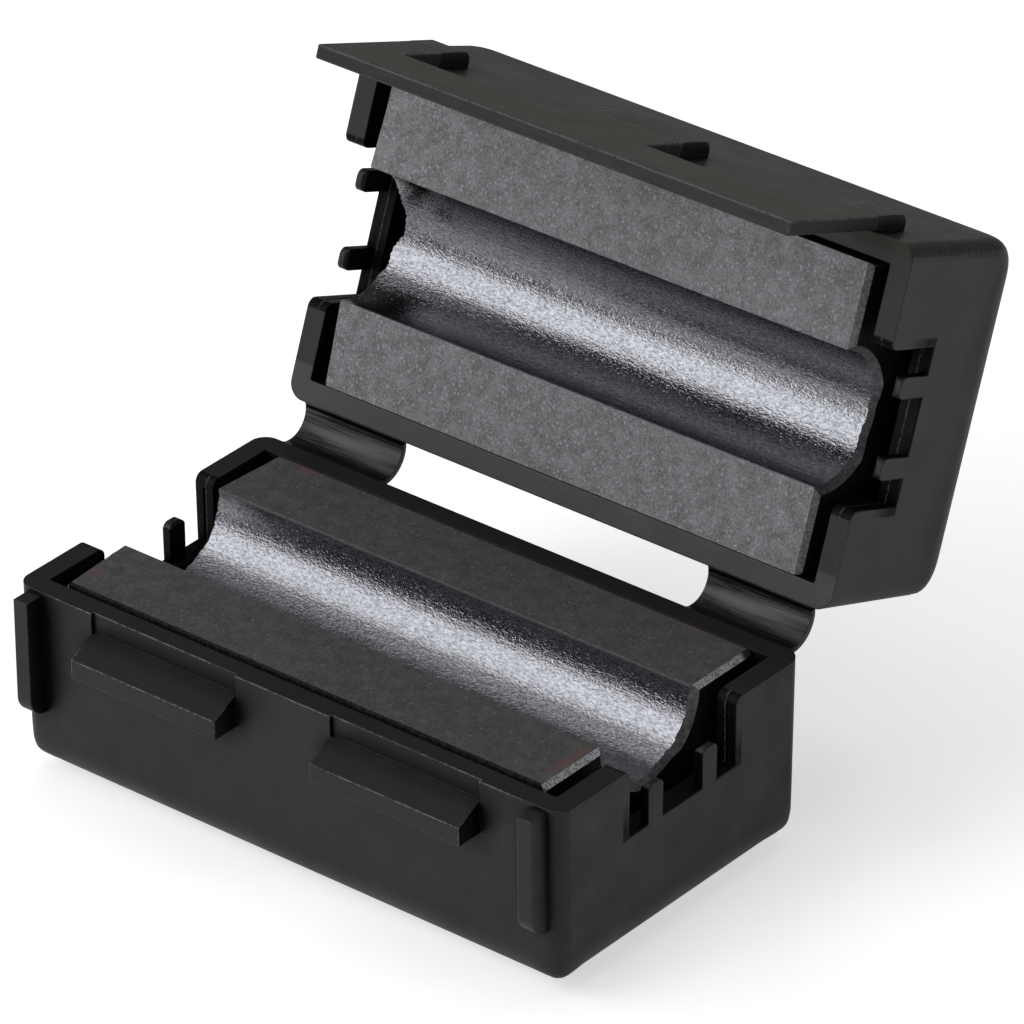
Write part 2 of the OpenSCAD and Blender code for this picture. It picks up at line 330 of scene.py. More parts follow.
# black nylon of the case, placed on the shut bead; of two limits a mask starts at the first and
# is full at the second, and with three it fills the band and the third is its soft edge
plasticSettings = {
    "base": {
        "shut": None,  # turn back to the shut position
        "color": (0.0074, 0.0074, 0.0076),
        "tint": (1, 1, 1),
        "wallTint": (1, 1, 1),  # tint of the shine on the latch side, a painted warm reflection on the open lid's upturned wall
        "latchSide": (-0.0081, -0.0084),  # y
        "roughness": (0.44, 0.56),
        "mottle": 0.0022,
        "mottleSpan": (0.3, 0.7),
        "grain": 0.00017,
        "grainDepth": 0.000014,
        "wallGrain": 1.0,  # how much deeper the grain is on the latch wall
        "wallBand": (-0.00872, -0.0081, 0.0001),  # y
        # wear along the edges
        "edgeRadius": 0.00012,
        "bend": (0.99, 0.78),  # how far the softened normal turns away on an edge
        "outerSpan": (0.80, 0.97),  # open enough to be rubbed
        "roundedWear": 0.9,  # on the edges that are rounded in the mesh
        "underWear": 0.15,  # share of the wear on edges that face down
        "underSpan": (-0.45, -0.1),  # z of the normal
        "worn": (0.030, 0.030, 0.031),
        "latchWorn": (0.085, 0.085, 0.087),
        "proud": (-0.0091, -0.0093),  # y past which the edges are rubbed most
        "rimEdge": (0.00978, 0.01005, 0.00003),  # z of the latch side's rim, rubbed the same
        "wearShares": (0.3, 0.85),  # elsewhere and on the proud edges
        "patchSize": 0.8,  # share of the mottle's size
        "patchSpan": (0.35, 0.6),
        "patchWear": 0.15,  # wear between the patches
        # bright scuffs in the wear
        "scuff": (0.24, 0.24, 0.24),
        "scuffSize": 0.00020,
        "scuffShare": 0.60,
        "scuffFade": 0.1,
        "scuffPatches": 0.5,  # keeps some scuffs between the patches
        "latchScuffs": 0.13,
        "otherScuffs": 0.12,
        "earScuffs": 0.15,
        "earSpan": (0.0139, 0.0141),  # far x
        "drag": 0,  # share of the rubbed streaks along the edge
        "dragStretch": (0.12, 1, 1),
        "dragSpan": (0.45, 0.68),
        # shares of the shine
        "shine": 0.37,
        # painted shade: where the ambient occlusion finds a nook, the colour darkens and the shine
        # drops
        "nookReach": 0.0014,
        "nookSpan": (0.55, 0.97),
        "nookShadeColor": (0.0020, 0.0020, 0.0022),
        "nookShadeShine": 0.05,
        "rimHeight": (0.009885, 0.009915, 0.000005),  # z of the rim's top
        "rimBand": (0.0070, 0.0090, 0.0002),  # y
        "rimShine": 0.34,
        # painted shade: less shine on the catches' sloped tops
        "slopeY": (-0.0087, -0.0088),
        "slopeLean": (0.3, 0.9, 0.1),  # z of the normal
        "slopeShadeShine": 0.72,
        # painted sheen: the end faces past this far x get their shine scaled
        "endX": (0.01590, 0.01592),
        "endSheen": 1.0,
        # painted shade: less shine inside the shell, within the end, front and rear walls
        "pocket": ((-1, 0.01491, 0.00001), (-1, 0.00756, 0.00001), (0.00108, 0.01872, 0.00001)),
        "pocketShadeShine": 0.45,
        # the cable gates
        "gateHeight": (0.0063, 0.0100, 0.00005),  # z
        "lineBand": (0.0037, 1, 0.00002),  # far y where the groove shows
    },
}
plasticSettings["lid"] = {
    **plasticSettings["base"],
    "shut": shutLid,
    "wallTint": (1, 1, 0.79),
    "roughness": (0.47, 0.54),
    "wallGrain": 3.6,
    "underWear": 1,
    "proud": (-0.0087, -0.0089),
    "rimEdge": (0.00993, 0.0102, 0.00003),
    "rimHeight": (0.009985, 0.010015, 0.000005),
    "rimShine": 0.66,
    "slopeShadeShine": 1.0,
    "endSheen": 1.27,
    "gateHeight": (0.0098, 0.0136, 0.00005),
    "lineBand": (0, 1, 0.00002),
}
plasticSettings["plate"] = {
    **plasticSettings["lid"],
    # painted warm reflection: a yellowish colour and shine tint on the broad faces
    "color": (0.0080, 0.0080, 0.0060),
    "tint": (1, 1, 0.70),
    "roughness": (0.485, 0.525),
    "mottle": 0.0016,
    "grainDepth": 0.000085,
    "roundedWear": 0.45,
    "scuffShare": 0.57,
    "shine": 0.405,
}
plasticSettings["plateSide"] = {
    **plasticSettings["lid"],
    "color": (0.0062, 0.0062, 0.0066),
    "grainDepth": 0.000040,
    "roundedWear": 0.3,
    "scuffShare": 0.46,
    "drag": 0.40,
    "shine": 0.345,
}
gateSettings = {
    "depths": (0.01482, 0.01596, 0.00002),  # far x of the gates' walls
    "halfWidth": (-1, 0.0042, 0.00006),  # far y
    "fingers": (0.00144, 0.00241, 0.00001),  # far y
    "fingerBack": (0.01536, 0.01538),  # far x
    # painted shade: the gates' walls and floors get a darker colour and less shine
    "color": (0.0030, 0.0030, 0.0040),
    "shine": 0.20,  # share of the shine that is left, painted shade
    "line": (0.01533, 0.01539, 0.00002),  # far x of a light line beside the fine groove, a painted edge highlight
    "lineColor": (0.055, 0.055, 0.058),
    "lineBreaks": (0.40, 0.52),
    "lineLow": 0.25,  # what is left of the line in its breaks
    "waver": 0.00003,
    "waverSpan": (0.3, 0.7),
    "streak": 0.00010,
    "streakStretch": (1, 0.1, 0.1),
    "streakSpan": (0.60, 0.72),
    "streakShare": 0.35,
}


def edgeWear(tree, edge, nook, look):
    geometry = addNode(tree, "ShaderNodeNewGeometry")
    turned = addNode(tree, "ShaderNodeVectorMath")
    turned.operation = "DOT_PRODUCT"
    tree.links.new(edge, turned.inputs[0])
    tree.links.new(geometry.outputs["Normal"], turned.inputs[1])
    wear = multiply(tree, mapRange(tree, nook, *look["outerSpan"]),
                    mapRange(tree, turned.outputs["Value"], *look["bend"]))
    rounded = multiply(tree, readAttribute(tree, "rounded"), look["roundedWear"])
    normalZ = splitPlace(tree, edge)[2]
    facingUp = mapRange(tree, normalZ, *look["underSpan"], look["underWear"], 1)
    return multiply(tree, larger(tree, wear, rounded), facingUp)


def rubColor(tree, place, axes, wear, rub, latch, look):
    patch = addNoise(tree, place, look["mottle"] * look["patchSize"], detail=2)
    proud = larger(tree, multiply(tree, insideBand(tree, axes["upZ"], *look["rimEdge"]), latch),
                   mapRange(tree, axes["acrossY"], *look["proud"]))
    patches = mapRange(tree, patch, *look["patchSpan"], look["patchWear"], 1)
    worn = mixColor(tree, multiply(tree, proud, patches), look["worn"], look["latchWorn"])
    amount = multiply(tree, wear, mapRange(tree, proud, 0, 1, *look["wearShares"]))
    color = mixColor(tree, amount, look["color"], worn)
    rubbed = multiply(tree, rub, add(tree, patch, look["scuffPatches"]))
    rubbed = add(tree, rubbed, multiply(tree, proud, look["latchScuffs"]))
    scuffFrom = look["scuffShare"]
    scuffs = multiply(tree, wear,
                      mapRange(tree, rubbed, scuffFrom, scuffFrom + look["scuffFade"]),
                      mapRange(tree, proud, 0, 1, look["otherScuffs"], 1),
                      mapRange(tree, axes["farX"], *look["earSpan"], 1, look["earScuffs"]))
    return mixColor(tree, scuffs, color, look["scuff"])


def dragColor(tree, home, color, look):
    dragged = addNoise(tree, stretch(tree, home, look["dragStretch"]), look["scuffSize"], detail=3)
    share = mapRange(tree, dragged, *look["dragSpan"], 0, look["drag"])
    return mixColor(tree, share, color, look["worn"])


def findGates(tree, axes, look, gates):
    finger = multiply(tree, insideBand(tree, axes["farY"], *gates["fingers"]),
                      mapRange(tree, axes["farX"], *gates["fingerBack"]))
    return multiply(tree, insideBand(tree, axes["farX"], *gates["depths"]),
                    insideBand(tree, axes["upZ"], *look["gateHeight"]),
                    insideBand(tree, axes["farY"], *gates["halfWidth"]),
                    addMath(tree, "SUBTRACT", 1, finger))


def gateShadeAndLines(tree, home, axes, rub, inGate, color, look, gates):
    color = mixColor(tree, inGate, color, gates["color"])
    # the line is a painted highlight along the groove's edge, and the streaks are lighter streaks
    # on the gates' walls
    waver = mapRange(tree, rub, *gates["waverSpan"], -gates["waver"], gates["waver"])
    wavyX = add(tree, axes["farX"], waver)
    line = multiply(tree, insideBand(tree, wavyX, *gates["line"]), inGate,
                    mapRange(tree, rub, *gates["lineBreaks"], gates["lineLow"], 1))
    inward = stretch(tree, home, gates["streakStretch"])
    streaks = addNoise(tree, inward, gates["streak"], detail=2)
    streaked = mapRange(tree, streaks, *gates["streakSpan"], 0, gates["streakShare"])
    line = larger(tree, line, multiply(tree, streaked, inGate))
    line = multiply(tree, line, insideBand(tree, axes["farY"], *look["lineBand"]))
    return mixColor(tree, line, color, gates["lineColor"])


def shellShine(tree, axes, edge, inGate, clear, look, gates):
    rim = multiply(tree, insideBand(tree, axes["upZ"], *look["rimHeight"]),
                   insideBand(tree, axes["acrossY"], *look["rimBand"]))
    slope = multiply(tree, mapRange(tree, axes["acrossY"], *look["slopeY"]),
                     insideBand(tree, splitPlace(tree, edge)[2], *look["slopeLean"]))
    pocketX, pocketY, pocketZ = look["pocket"]
    pocket = multiply(tree, insideBand(tree, axes["farX"], *pocketX),
                      insideBand(tree, axes["farY"], *pocketY),
                      insideBand(tree, axes["upZ"], *pocketZ))
    return multiply(tree, mixValue(tree, rim, look["shine"], look["rimShine"]),
                    mapRange(tree, inGate, 0, 1, 1, gates["shine"]),
                    clear,
                    mapRange(tree, slope, 0, 1, 1, look["slopeShadeShine"]),
                    mapRange(tree, axes["farX"], *look["endX"], 1, look["endSheen"]),
                    mapRange(tree, pocket, 0, 1, 1, look["pocketShadeShine"]))


def makePlastic(name, look, gates=None):
    material, tree, shader, place = startMaterial(name)
    home = toShut(tree, place, look["shut"])
    alongX, acrossY, upZ = splitPlace(tree, home)
    axes = {"acrossY": acrossY, "upZ": upZ, "farX": addMath(tree, "ABSOLUTE", alongX, 0)}
    grain = addNoise(tree, place, look["grain"], detail=3, roughness=0.6)
    edge = softEdge(tree, look["edgeRadius"])
    # painted shade in nooks and crevices, from the ambient occlusion
    nook = findNook(tree, look["nookReach"])
    clear = mapRange(tree, nook, *look["nookSpan"], look["nookShadeShine"], 1)
    wear = edgeWear(tree, edge, nook, look)
    rub = addNoise(tree, place, look["scuffSize"], detail=2)
    latch = mapRange(tree, acrossY, *look["latchSide"])
    color = rubColor(tree, place, axes, wear, rub, latch, look)
    color = mixColor(tree, clear, look["nookShadeColor"], color)
    if look["drag"]:
        color = dragColor(tree, home, color, look)
    shader.inputs["Specular IOR Level"].default_value = look["shine"]
    shader.inputs["Specular Tint"].default_value = (*look["tint"], 1)
    if gates:
        axes["farY"] = addMath(tree, "ABSOLUTE", acrossY, 0)
        inGate = findGates(tree, axes, look, gates)
        color = gateShadeAndLines(tree, home, axes, rub, inGate, color, look, gates)
        shine = shellShine(tree, axes, edge, inGate, clear, look, gates)
        tree.links.new(shine, shader.inputs["Specular IOR Level"])
        tree.links.new(mixColor(tree, latch, look["tint"], look["wallTint"]),
                       shader.inputs["Specular Tint"])
        onWall = insideBand(tree, acrossY, *look["wallBand"])
        grain = multiply(tree, grain, mapRange(tree, onWall, 0, 1, 1, look["wallGrain"]))
    tree.links.new(color, shader.inputs["Base Color"])
    mottle = addNoise(tree, place, look["mottle"], detail=4)
    tree.links.new(mapRange(tree, mottle, *look["mottleSpan"], *look["roughness"]),
                   shader.inputs["Roughness"])
    tree.links.new(addBump(tree, grain, look["grainDepth"], edge), shader.inputs["Normal"])
    return material


# ground lands of the half cores
landSettings = {
    "lower": {
        "dark": (0.046, 0.046, 0.048),
        "light": (0.092, 0.092, 0.096),
        "speck": (0.125, 0.125, 0.132),
        "speckShare": 0.09,
        "stains": (  # middle, reach and strength of the reddish marks
            ((0.01343, -0.0048), (0.00030, 0.0019), 0.85),
            ((-0.01205, 0.00722), (0.00048, 0.00040), 0.9),
            ((0.01077, 0.00737), (0.0005, 0.0003), 0.8),
            ((-0.01376, -0.0058), (0.0007, 0.0005), 0.5),
        ),
        "grain": 0.00011,
        "grainDepth": 0.000005,
        "roughness": (0.42, 0.54),
    },
    "upper": {
        # painted light: a lighter copy of the same ground ferrite, for the lid's lands that face
        # the front lights
        "dark": (0.078, 0.079, 0.085),
        "light": (0.245, 0.246, 0.262),
        "speck": (0.300, 0.306, 0.330),
        "speckShare": 0.30,
        "stains": (),
        "grain": 0.00010,
        "grainDepth": 0.000008,
        "roughness": (0.38, 0.5),
    },
}
landShape = {
    "cloud": 0.0007,
    "cloudShare": 0.5,
    "blendSpan": (0.60, 0.91),  # of grain and cloud, from dark to light
    "speckSize": 0.00020,
    "speckFull": 0.6,  # share of the specks that are at full strength
    "speckEdge": (0.50, 0.22),  # of a cell
    "waver": 0.00012,
    "stain": (0.122, 0.072, 0.069),
    "stainSpan": (1.75, 1.05),
    "roughSpan": (0.3, 0.7),
    "edgeRadius": 0.00005,
}


def addSpecks(tree, vector, share, shape):
    cells = addNode(tree, "ShaderNodeTexVoronoi", Scale=1 / shape["speckSize"])
    tree.links.new(vector, cells.inputs["Vector"])
    pick = addNode(tree, "ShaderNodeSeparateColor")
    tree.links.new(cells.outputs["Color"], pick.inputs["Color"])
    chosen = mapRange(tree, pick.outputs["Red"], 1 - share, 1 - share * shape["speckFull"])
    spot = mapRange(tree, cells.outputs["Distance"], *shape["speckEdge"])
    return multiply(tree, chosen, spot)


def addStain(tree, place, cloud, middle, reach, strength, span):
    spot = addNode(tree, "ShaderNodeMapping")
    spot.inputs["Location"].default_value = (-middle[0] / reach[0], -middle[1] / reach[1], 0)
    spot.inputs["Scale"].default_value = (1 / reach[0], 1 / reach[1], 0)
    tree.links.new(place, spot.inputs["Vector"])
    away = addNode(tree, "ShaderNodeVectorMath")
    away.operation = "LENGTH"
    tree.links.new(spot.outputs["Vector"], away.inputs[0])
    ragged = add(tree, away.outputs["Value"], cloud)
    return mapRange(tree, ragged, *span, 0, strength)


def makeLand(name, look, shape):
    material, tree, shader, place = startMaterial(name)
    grain = addNoise(tree, place, look["grain"], detail=3, roughness=0.65)
    cloud = addNoise(tree, place, shape["cloud"], detail=3)
    blend = add(tree, multiply(tree, cloud, shape["cloudShare"]), grain)
    color = fromDark(tree, blend, shape["blendSpan"], look)
    specks = addSpecks(tree, addWaver(tree, place, shape["waver"]), look["speckShare"], shape)
    color = mixColor(tree, specks, color, look["speck"])
    for stain in look["stains"]:
        stained = addStain(tree, place, cloud, *stain, shape["stainSpan"])
        color = mixColor(tree, stained, color, shape["stain"])
    tree.links.new(color, shader.inputs["Base Color"])
    tree.links.new(mapRange(tree, grain, *shape["roughSpan"], *look["roughness"]),
                   shader.inputs["Roughness"])
    edge = softEdge(tree, shape["edgeRadius"])
    tree.links.new(addBump(tree, grain, look["grainDepth"], edge), shader.inputs["Normal"])
    return material


# shiny walls of the cable channel
channelSettings = {
    "lower": {
        "shut": None,
        "dark": (0.120, 0.122, 0.134),
        "light": (0.268, 0.272, 0.293),
        "stretch": (0.5, 1, 1),
        "grain": 0.00011,
        "grainShare": 0.6,
        "fine": 0.000065,
        "fineShare": 0.4,
        "grainSpan": (0.36, 0.62),
        "grainDepth": 0.000020,
        "spark": 0.000005,
        "sparkSize": 1.5,  # times the fine grain
        "sparkSpan": (0.54, 0.72),
        "cloud": 0.0011,
        "cloudSpan": (0.3, 0.7),
        "roughness": (0.16, 0.25),
        "latchSide": (0.0020, 0.0013, 1.15),  # y of the fade and the share of the color past it, painted light and shade across the channel
        "latchRough": 0.08,
        "lip": (0.0092, 0.0098, 0.50),  # z of the fade and the share of the color past it, painted shade near the lip
    },
}
channelSettings["upper"] = {
    **channelSettings["lower"],
    "shut": shutLid,
    "spark": 0.0000062,
    "roughness": (0.13, 0.21),
    "latchSide": (0.0004, -0.0004, 0.88),
    "latchRough": 0,
    "lip": (0, 1, 1),
}


def makeChannel(name, look):
    material, tree, shader, place = startMaterial(name)
    drawn = stretch(tree, place, look["stretch"])
    coarse = addNoise(tree, drawn, look["grain"], detail=2)
    fine = addNoise(tree, drawn, look["fine"], detail=2)
    grain = add(tree, multiply(tree, coarse, look["grainShare"]),
                multiply(tree, fine, look["fineShare"]))
    color = fromDark(tree, grain, look["grainSpan"], look)
    acrossY, upZ = splitPlace(tree, toShut(tree, place, look["shut"]))[1:3]
    fadeFrom, fadeTo, share = look["latchSide"]
    lipFrom, lipTo, lipShare = look["lip"]
    # painted light and shade: the colour is scaled across the channel and near the lip
    shade = multiply(tree, mapRange(tree, acrossY, fadeFrom, fadeTo, 1, share),
                     mapRange(tree, upZ, lipFrom, lipTo, 1, lipShare))
    shaded = addNode(tree, "ShaderNodeVectorMath")
    shaded.operation = "SCALE"
    tree.links.new(color, shaded.inputs[0])
    tree.links.new(shade, shaded.inputs["Scale"])
    tree.links.new(shaded.outputs[0], shader.inputs["Base Color"])
    cloud = addNoise(tree, place, look["cloud"], detail=3)
    roughness = add(tree, mapRange(tree, cloud, *look["cloudSpan"], *look["roughness"]),
                    mapRange(tree, acrossY, fadeFrom, fadeTo, 0, look["latchRough"]))
    tree.links.new(roughness, shader.inputs["Roughness"])
    shader.inputs["Metallic"].default_value = 1
    sparks = addNoise(tree, drawn, look["fine"] * look["sparkSize"], detail=1)
    sparks = mapRange(tree, sparks, *look["sparkSpan"])
    rough = addBump(tree, grain, look["grainDepth"])
    tree.links.new(addBump(tree, sparks, look["spark"], rough), shader.inputs["Normal"])
    return material


# ends, crumbled edges and mouths of the half cores
endSettings = {
    # the cores' ends, sides and leaning rims: fired ferrite's dark tone, darkened further as
    # painted shade of the gaps beside the case walls
    "face": {"dark": (0.006, 0.006, 0.0065), "light": (0.030, 0.0295, 0.029), "dull": None,
             "roughness": 0.7, "grain": 0.00014, "depth": 0.00002, "shine": 0.1},
    # painted highlight: the lower cores' bevel is coloured near white for the light it catches,
    # over a lighter chipped band
    "bevelLower": {"dark": (0.26, 0.26, 0.275), "light": (0.88, 0.89, 0.94),
                   "dull": (0.0068, 0.0071),  # y past which it is as dull as the face
                   "roughness": 0.45, "grain": 0.00011, "depth": 0.000012, "shine": 0.5},
    "bevelUpper": {"dark": (0.105, 0.099, 0.093), "light": (0.27, 0.257, 0.24), "dull": None,
                   "roughness": 0.55, "grain": 0.00016, "depth": 0.00001, "shine": 0.5},
    "mouth": {"dark": (0.085, 0.085, 0.09), "light": (0.19, 0.19, 0.20), "dull": None,
              "roughness": 0.45, "grain": 0.00022, "depth": 0.000008, "shine": 0.5},
}
endSpan = (0.38, 0.64)  # of the grain, from dark to light


def makeRoughEnd(name, look):
    material, tree, shader, place = startMaterial(name)
    grain = addNoise(tree, place, look["grain"], detail=4)
    color = fromDark(tree, grain, endSpan, look)
    if look["dull"]:
        dull = mapRange(tree, splitPlace(tree, place)[1], *look["dull"])
        color = mixColor(tree, dull, color, endSettings["face"]["light"])
    tree.links.new(color, shader.inputs["Base Color"])
    shader.inputs["Roughness"].default_value = look["roughness"]
    shader.inputs["Specular IOR Level"].default_value = look["shine"]
    tree.links.new(addBump(tree, grain, look["depth"]), shader.inputs["Normal"])
    return material


# the hinge straps' nylon, streaked, with painted shadow in dark bands along it
strapFinish = {
    "dark": (0.005, 0.005, 0.006),
    "light": (0.044, 0.044, 0.051),
    "shade": (0.0030, 0.0030, 0.0032),
    "shine": 0.40,
    "stretch": (0.06, 1, 1),
    "streak": 0.00010,
    "streakSpan": (0.38, 0.66),
    "streakDepth": 0.000012,
    "roughSpan": (0.3, 0.7),
    "roughness": (0.22, 0.46),
    "shadeBandCore": 0.4,  # share of a shade band's width that is at full strength
    "folds": (  # painted shadow bands: place along the strap, width, strength
        (0.10, 0.32, 0.80),
        (0.945, 0.062, 1.0),
        (0.845, 0.030, 0.62),
    ),
}


def makeStrapFinish(name, look):
    material, tree, shader, place = startMaterial(name)
    drawn = stretch(tree, place, look["stretch"])
    streak = addNoise(tree, drawn, look["streak"], detail=3)
    color = fromDark(tree, streak, look["streakSpan"], look)
    along = readAttribute(tree, "along")
    shaded = None
    # painted shadow: darker colour and less shine in the bands
    for middle, width, strength in look["folds"]:
        away = addMath(tree, "ABSOLUTE", addMath(tree, "SUBTRACT", along, middle), 0)
        shadeBand = mapRange(tree, away, width, width * look["shadeBandCore"], 0, strength)
        shaded = shadeBand if shaded is None else larger(tree, shaded, shadeBand)
    tree.links.new(mixColor(tree, shaded, color, look["shade"]), shader.inputs["Base Color"])
    shine = multiply(tree, addMath(tree, "SUBTRACT", 1, shaded), look["shine"])
    shader.inputs["Specular IOR Level"].default_value = look["shine"]
    tree.links.new(shine, shader.inputs["Specular IOR Level"])
    tree.links.new(mapRange(tree, streak, *look["roughSpan"], *look["roughness"]),
                   shader.inputs["Roughness"])
    tree.links.new(addBump(tree, streak, look["streakDepth"]), shader.inputs["Normal"])
    return material


basePlastic = makePlastic("blackNylonBase", plasticSettings["base"], gateSettings)
lidPlastic = makePlastic("blackNylonLid", plasticSettings["lid"], gateSettings)
platePlastic = makePlastic("rubbedNylonWarmSheen", plasticSettings["plate"])
sidePlastic = makePlastic("plateSideNylon", plasticSettings["plateSide"])
lands = {side: makeLand("groundFerrite" + side.capitalize(), look, landShape)
         for side, look in landSettings.items()}
channels = {side: makeChannel("glazedChannel" + side.capitalize(), look)
            for side, look in channelSettings.items()}
endMaterials = {kind: makeRoughEnd("ferrite" + kind[0].upper() + kind[1:], look)
                for kind, look in endSettings.items()}
strapNylon = makeStrapFinish("flexedNylon", strapFinish)
print("materials made")

# shaping that the pieces share
shapingSettings = {
    "merge": 0.000002,  # vertices this close become one
    "flat": 1,  # degrees, between faces that become one
    "cut": 0.0000005,  # a cut takes in the vertices this close to it
    "sharp": 32,  # degrees, from here an edge is shaded sharp
}


def cleanCopy(nodeName):
    bm = bmesh.new()
    bm.from_mesh(nodes[nodeName].data)
    bmesh.ops.remove_doubles(bm, verts=bm.verts, dist=shapingSettings["merge"])
    bmesh.ops.dissolve_limit(bm, angle_limit=math.radians(shapingSettings["flat"]),
                             verts=bm.verts, edges=bm.edges)
    return bm


def softenEdges(bm, edges, width, segments=2):
    return bmesh.ops.bevel(bm, geom=edges, offset=width, offset_type="OFFSET", segments=segments,
                           profile=0.5, affect="EDGES", clamp_overlap=True, material=-1)


def everything(bm):
    return [*bm.verts, *bm.edges, *bm.faces]


def allAround(faces):
    edges = {e for f in faces for e in f.edges}
    return list({*faces, *edges, *(v for e in edges for v in e.verts)})


def cutAcross(bm, geom, axis, place):
    normal = [0, 0, 0]
    normal[axis] = 1
    point = [0, 0, 0]
    point[axis] = place
    return bmesh.ops.bisect_plane(bm, geom=geom, dist=shapingSettings["cut"],
                                  plane_co=point, plane_no=normal)


def placePiece(bm, name, materials):
    limit = math.radians(shapingSettings["sharp"])
    for face in bm.faces:
        face.smooth = True
    for edge in bm.edges:
        edge.smooth = not edge.is_manifold or edge.calc_face_angle(0) < limit
    mesh = bpy.data.meshes.new(name)
    bm.to_mesh(mesh)
    bm.free()
    for material in materials:
        mesh.materials.append(material)
    piece = bpy.data.objects.new(name, mesh)
    bpy.context.scene.collection.objects.link(piece)
    weighted = piece.modifiers.new("flatFaces", "WEIGHTED_NORMAL")
    weighted.keep_sharp = True
    return piece


# the two halves of the case, with fuller corners on the closed side
shellSettings = {
    "round": 0.0022,  # of the closed side's edges
    "above": 0.0004,  # fade of the corner rounding up the wall
    "cuts": 11,
    "knee": (0.45, 0.70),  # heights in the corner between which its extra fullness ends
    "kneeRise": 1.3,  # how fast it grows towards the diagonal
    "near": 0.000001,  # counts as on a plane
    "still": 0.0001,  # a vertex this near to the rounding stays
    "mostOff": 0.25,  # and so does one further off than this
    "edge": 0.00009,  # softening of the catches and ears
    "edgeBend": 0.5,  # radians, flatter edges stay as they are
    "shortest": 0.0006,  # and so do shorter ones
    "proudFrom": -0.00868,  # y past which the catches and ears stand out
    "halves": {
        # corner is the middle of the corner rounding and squareness is how square a corner is
        # at the wall, at the closed side, and how much fuller half-way
        "case_base": {
            "piece": "caseBase",
            "body": "base",
            "corner": (0.013695, 0.006345, 0.0022),
            "closedWay": -1,
            "squareness": (5.8, 5.8, 0.7),
            "turn": Matrix.Identity(4),
            "material": basePlastic,
        },
        "case_lid": {
            "piece": "caseLid",
            "body": "lid",
            "corner": (0.013696, 0.006346, 0.0176),
            "closedWay": 1,
            "squareness": (5.8, 3.0, 0),
            "turn": openLid,
            "material": lidPlastic,
        },
    },
}


def isInCorner(co, half, sizes):
    top = half["corner"][2] - half["closedWay"] * sizes["above"]
    near = sizes["near"]
    return (abs(co.x) > half["corner"][0] - near and abs(co.y) > half["corner"][1] - near
            and (co.z - top) * half["closedWay"] > -near)


# the corners are cut finely, so that roundCorners can pull them to a fuller form
def cutCorners(bm, half, sizes):
    corner, closedWay = half["corner"], half["closedWay"]
    top = corner[2] - closedWay * sizes["above"]
    for axis, places in enumerate(((-corner[0], corner[0]), (-corner[1], corner[1]), (top,))):
        for place in places:
            cutAcross(bm, everything(bm), axis, place)
    for step in range(1, sizes["cuts"]):
        depth = sizes["round"] * step / sizes["cuts"]
        for axis, way in ((0, -1), (0, 1), (1, -1), (1, 1), (2, closedWay)):
            faces = [f for f in bm.faces if isInCorner(f.calc_center_median(), half, sizes)]
            place = way * (corner[axis] + depth) if axis < 2 else corner[2] + way * depth
            cutAcross(bm, allAround(faces), axis, place)


def findRounding(away, squareness, sizes):
    square, soft, fuller = squareness
    kneeFrom, kneeTo = sizes["knee"]
    height = away.z / sizes["round"]
    power = soft + (square - soft) * max(0, 1 - height) ** 2
    across = (max(away.x, 0) ** power + max(away.y, 0) ** power) ** (1 / power)
    diagonal = max(0, min(away.x, away.y)) / max(away.x, away.y, sizes["near"])
    inKnee = min(1, max(0, (kneeTo - height) / (kneeTo - kneeFrom)))
    roundness = 2 + fuller * min(1, diagonal * sizes["kneeRise"]) * inKnee
    return (across ** roundness + away.z ** roundness) ** (1 / roundness) / sizes["round"]


def roundCorners(bm, half, sizes):
    (cornerX, cornerY, cornerZ), closedWay = half["corner"], half["closedWay"]
    top = cornerZ - closedWay * sizes["above"]
    for v in bm.verts:
        if not isInCorner(v.co, half, sizes):
            continue
        away = Vector((abs(v.co.x) - cornerX, abs(v.co.y) - cornerY,
                       max(0, (v.co.z - cornerZ) * closedWay)))
        size = findRounding(away, half["squareness"], sizes)
        if abs(size - 1) < sizes["still"] or abs(size - 1) > sizes["mostOff"]:
            continue
        share = min(1, max(0, (v.co.z - top) * closedWay / sizes["above"]))
        scale = 1 + (1 / size - 1) * share
        v.co.x = math.copysign(cornerX + away.x * scale, v.co.x)
        v.co.y = math.copysign(cornerY + away.y * scale, v.co.y)
        if away.z > 0:
            v.co.z = cornerZ + closedWay * away.z * scale


def makeShell(nodeName, half, sizes):
    bm = cleanCopy(nodeName)
    bm.transform(half["turn"].inverted())
    rounded = bm.faces.layers.float.new("rounded")
    proud = [e for e in bm.edges if e.is_manifold and e.is_convex
             and e.calc_face_angle(0) > sizes["edgeBend"]
             and all(v.co.y < sizes["proudFrom"] for v in e.verts)
             and e.calc_length() > sizes["shortest"]]
    for face in softenEdges(bm, proud, sizes["edge"])["faces"]:
        face[rounded] = 1
    cutCorners(bm, half, sizes)
    roundCorners(bm, half, sizes)
    bm.transform(half["turn"])
    piece = placePiece(bm, half["piece"], (half["material"],))
    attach(piece, half["body"])
    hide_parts(nodeName)
    return len(piece.data.polygons)


for nodeName, half in shellSettings["halves"].items():
    print(nodeName, "made with", makeShell(nodeName, half, shellSettings), "faces")

